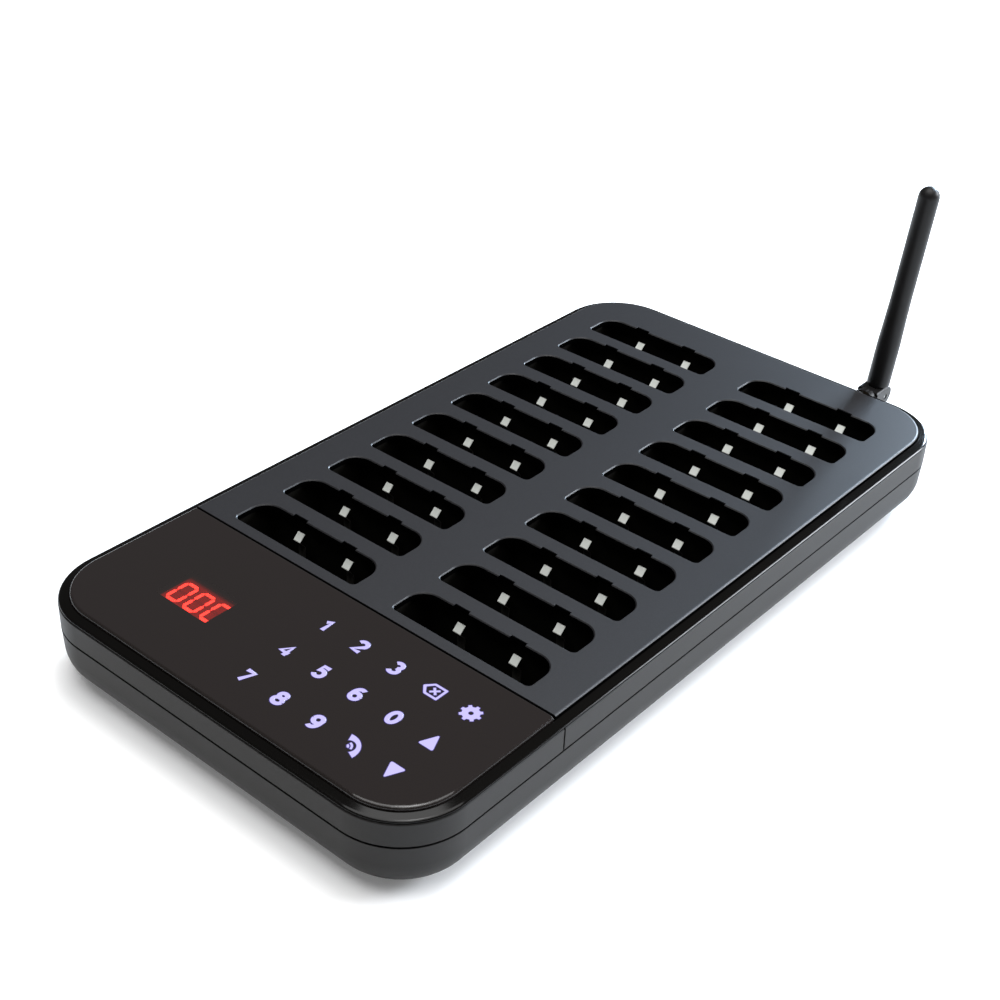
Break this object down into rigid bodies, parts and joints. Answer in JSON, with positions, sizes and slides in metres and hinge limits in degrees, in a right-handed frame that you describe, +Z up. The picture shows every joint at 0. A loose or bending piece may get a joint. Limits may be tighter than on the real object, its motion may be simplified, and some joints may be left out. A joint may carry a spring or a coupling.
{
  "type": "pager charging base",
  "caption": "Flat charging rack for table pagers: two columns of slots with leaf contacts, a gloss touch keypad with red digits in front, and a hinged whip antenna at the back.",
  "frame": {"origin": "on the table under the middle of the object, antenna included", "axes": "+X to the right seen from the keypad end, +Y from the keypad towards the antenna, +Z up"},
  "size_m": [0.1906, 0.3706, 0.1322],
  "materials": {
    "case_plastic": "fine matte grain",
    "gloss_rim": "polished",
    "plate_plastic": "fine sparkle-matte grain",
    "tray_plastic": "matte",
    "panel_gloss": "polished",
    "adhesive_foam": "matte",
    "red_filter": "clear tinted film",
    "black_plastic": "satin",
    "red_segments": "lit",
    "sensor_film": "polished film",
    "led_white": "polished",
    "circuit_board": "solder mask",
    "tinned_steel": "satin",
    "red_insulation": "satin",
    "white_insulation": "satin",
    "gold_brass": "plated",
    "antenna_black": "satin",
    "foot_rubber": "matte",
    "label_film": "matte film",
    "contact_metal": "plated, satin"
  },
  "bodies": {
    "base": {"bottom_case": "case_plastic", "rack_housing": "case_plastic", "keypad_housing": "case_plastic", "bezel": "gloss_rim", "rack_plate": "plate_plastic", "slot_tray_left": "tray_plastic", "slot_tray_right": "tray_plastic", "touch_panel": "panel_gloss", "panel_adhesive": "adhesive_foam", "display_filter": "red_filter", "display_module": "black_plastic", "display_segments": "red_segments", "touch_film": "sensor_film", "light_shroud": "black_plastic", "key_leds": "led_white", "keypad_pcb": "circuit_board", "buzzer": "black_plastic", "charging_pcb_left": "circuit_board", "charging_pcb_right": "circuit_board", "main_pcb": "circuit_board", "radio_module": "tinned_steel", "coax_pigtail": "black_plastic", "power_leads": "red_insulation", "ribbon_cable": "white_insulation", "sma_jack": "gold_brass", "sma_nut": "gold_brass", "antenna_coupling": "antenna_black", "dc_jack": "black_plastic", "dc_jack_nut": "tinned_steel", "switch_body": "black_plastic", "rubber_feet": "foot_rubber", "case_screws": "tinned_steel", "pcb_screws": "tinned_steel", "tray_screws": "tinned_steel", "rating_label": "label_film"},
    "antenna_foot": {"antenna_base": "antenna_black"},
    "antenna_arm": {"antenna_whip": "antenna_black", "hinge_pin": "tinned_steel", "antenna_element": "gold_brass"},
    "power_rocker": {"switch_rocker": "black_plastic"},
    "contact_leaves_01": {"contact_pair_01": "contact_metal"},
    "contact_leaves_02": {"contact_pair_02": "contact_metal"},
    "contact_leaves_03": {"contact_pair_03": "contact_metal"},
    "contact_leaves_04": {"contact_pair_04": "contact_metal"},
    "contact_leaves_05": {"contact_pair_05": "contact_metal"},
    "contact_leaves_06": {"contact_pair_06": "contact_metal"},
    "contact_leaves_07": {"contact_pair_07": "contact_metal"},
    "contact_leaves_08": {"contact_pair_08": "contact_metal"},
    "contact_leaves_09": {"contact_pair_09": "contact_metal"},
    "contact_leaves_10": {"contact_pair_10": "contact_metal"},
    "contact_leaves_11": {"contact_pair_11": "contact_metal"},
    "contact_leaves_12": {"contact_pair_12": "contact_metal"},
    "contact_leaves_13": {"contact_pair_13": "contact_metal"},
    "contact_leaves_14": {"contact_pair_14": "contact_metal"},
    "contact_leaves_15": {"contact_pair_15": "contact_metal"},
    "contact_leaves_16": {"contact_pair_16": "contact_metal"},
    "contact_leaves_17": {"contact_pair_17": "contact_metal"},
    "contact_leaves_18": {"contact_pair_18": "contact_metal"},
    "contact_leaves_19": {"contact_pair_19": "contact_metal"},
    "contact_leaves_20": {"contact_pair_20": "contact_metal"}
  },
  "joints": [
    {"name": "antenna_swivel", "type": "hinge", "parent": "base", "child": "antenna_foot", "pos_m": [0.05, 0.17233, 0.0285], "axis": [0, 1, 0], "range_deg": [-94, 85.8]},
    {"name": "antenna_tilt", "type": "hinge", "parent": "antenna_foot", "child": "antenna_arm", "pos_m": [0.05, 0.18002, 0.0285], "axis": [0.9973, 0, -0.0732], "range_deg": [-90, 0]},
    {"name": "power_switch", "type": "hinge", "parent": "base", "child": "power_rocker", "pos_m": [-0.02, 0.16373, 0.0285], "axis": [0, 0, 1], "range_deg": [0, 18]},
    {"name": "contact_flex_01", "type": "hinge", "parent": "base", "child": "contact_leaves_01", "pos_m": [-0.0422, -0.08518, 0.00792], "axis": [-1, 0, 0], "range_deg": [0, 3], "stiffness_Nm_per_rad": 0.18},
    {"name": "contact_flex_02", "type": "hinge", "parent": "base", "child": "contact_leaves_02", "pos_m": [-0.0422, -0.06017, 0.00792], "axis": [-1, 0, 0], "range_deg": [0, 3], "stiffness_Nm_per_rad": 0.18},
    {"name": "contact_flex_03", "type": "hinge", "parent": "base", "child": "contact_leaves_03", "pos_m": [-0.0422, -0.03517, 0.00792], "axis": [-1, 0, 0], "range_deg": [0, 3], "stiffness_Nm_per_rad": 0.18},
    {"name": "contact_flex_04", "type": "hinge", "parent": "base", "child": "contact_leaves_04", "pos_m": [-0.0422, -0.01018, 0.00792], "axis": [-1, 0, 0], "range_deg": [0, 3], "stiffness_Nm_per_rad": 0.18},
    {"name": "contact_flex_05", "type": "hinge", "parent": "base", "child": "contact_leaves_05", "pos_m": [-0.0422, 0.01482, 0.00792], "axis": [-1, 0, 0], "range_deg": [0, 3], "stiffness_Nm_per_rad": 0.18},
    {"name": "contact_flex_06", "type": "hinge", "parent": "base", "child": "contact_leaves_06", "pos_m": [-0.0422, 0.03982, 0.00792], "axis": [-1, 0, 0], "range_deg": [0, 3], "stiffness_Nm_per_rad": 0.18},
    {"name": "contact_flex_07", "type": "hinge", "parent": "base", "child": "contact_leaves_07", "pos_m": [-0.0422, 0.06482, 0.00792], "axis": [-1, 0, 0], "range_deg": [0, 3], "stiffness_Nm_per_rad": 0.18},
    {"name": "contact_flex_08", "type": "hinge", "parent": "base", "child": "contact_leaves_08", "pos_m": [-0.0422, 0.08983, 0.00792], "axis": [-1, 0, 0], "range_deg": [0, 3], "stiffness_Nm_per_rad": 0.18},
    {"name": "contact_flex_09", "type": "hinge", "parent": "base", "child": "contact_leaves_09", "pos_m": [-0.0422, 0.11482, 0.00792], "axis": [-1, 0, 0], "range_deg": [0, 3], "stiffness_Nm_per_rad": 0.18},
    {"name": "contact_flex_10", "type": "hinge", "parent": "base", "child": "contact_leaves_10", "pos_m": [-0.0422, 0.13983, 0.00792], "axis": [-1, 0, 0], "range_deg": [0, 3], "stiffness_Nm_per_rad": 0.18},
    {"name": "contact_flex_11", "type": "hinge", "parent": "base", "child": "contact_leaves_11", "pos_m": [0.0422, -0.08518, 0.00792], "axis": [-1, 0, 0], "range_deg": [0, 3], "stiffness_Nm_per_rad": 0.18},
    {"name": "contact_flex_12", "type": "hinge", "parent": "base", "child": "contact_leaves_12", "pos_m": [0.0422, -0.06017, 0.00792], "axis": [-1, 0, 0], "range_deg": [0, 3], "stiffness_Nm_per_rad": 0.18},
    {"name": "contact_flex_13", "type": "hinge", "parent": "base", "child": "contact_leaves_13", "pos_m": [0.0422, -0.03517, 0.00792], "axis": [-1, 0, 0], "range_deg": [0, 3], "stiffness_Nm_per_rad": 0.18},
    {"name": "contact_flex_14", "type": "hinge", "parent": "base", "child": "contact_leaves_14", "pos_m": [0.0422, -0.01018, 0.00792], "axis": [-1, 0, 0], "range_deg": [0, 3], "stiffness_Nm_per_rad": 0.18},
    {"name": "contact_flex_15", "type": "hinge", "parent": "base", "child": "contact_leaves_15", "pos_m": [0.0422, 0.01482, 0.00792], "axis": [-1, 0, 0], "range_deg": [0, 3], "stiffness_Nm_per_rad": 0.18},
    {"name": "contact_flex_16", "type": "hinge", "parent": "base", "child": "contact_leaves_16", "pos_m": [0.0422, 0.03982, 0.00792], "axis": [-1, 0, 0], "range_deg": [0, 3], "stiffness_Nm_per_rad": 0.18},
    {"name": "contact_flex_17", "type": "hinge", "parent": "base", "child": "contact_leaves_17", "pos_m": [0.0422, 0.06482, 0.00792], "axis": [-1, 0, 0], "range_deg": [0, 3], "stiffness_Nm_per_rad": 0.18},
    {"name": "contact_flex_18", "type": "hinge", "parent": "base", "child": "contact_leaves_18", "pos_m": [0.0422, 0.08983, 0.00792], "axis": [-1, 0, 0], "range_deg": [0, 3], "stiffness_Nm_per_rad": 0.18},
    {"name": "contact_flex_19", "type": "hinge", "parent": "base", "child": "contact_leaves_19", "pos_m": [0.0422, 0.11482, 0.00792], "axis": [-1, 0, 0], "range_deg": [0, 3], "stiffness_Nm_per_rad": 0.18},
    {"name": "contact_flex_20", "type": "hinge", "parent": "base", "child": "contact_leaves_20", "pos_m": [0.0422, 0.13983, 0.00792], "axis": [-1, 0, 0], "range_deg": [0, 3], "stiffness_Nm_per_rad": 0.18}
  ]
}
